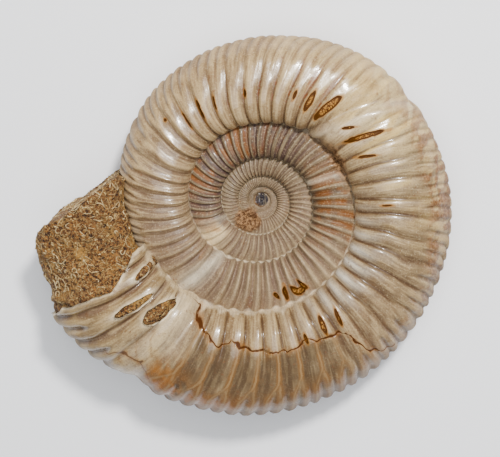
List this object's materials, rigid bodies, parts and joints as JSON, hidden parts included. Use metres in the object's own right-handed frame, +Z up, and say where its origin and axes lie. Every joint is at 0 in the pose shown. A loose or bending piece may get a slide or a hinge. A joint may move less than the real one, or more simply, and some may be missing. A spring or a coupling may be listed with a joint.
{
  "type": "ammonite fossil",
  "caption": "Ribbed, evolute ammonite fossil lying on one flank, its shell broken open at the living chamber to show the brown sediment core inside.",
  "frame": {"origin": "on the ground plane it rests on, under the middle of its bounding box", "axes": "+Z up with the fossil lying on one flank; +X along its longest side, away from the broken end of the shell; +Y away from the part of the coil where the last whorl is thickest"},
  "size_m": [0.1116, 0.1018, 0.0327],
  "materials": {
    "shell": "polished cream and beige calcite with grey grooves and rusty stains",
    "sediment": "matt brown limestone full of pale shell fragments"
  },
  "bodies": {
    "root": {"fossil_shell": "shell", "sediment_core": "sediment"}
  },
  "joints": []
}
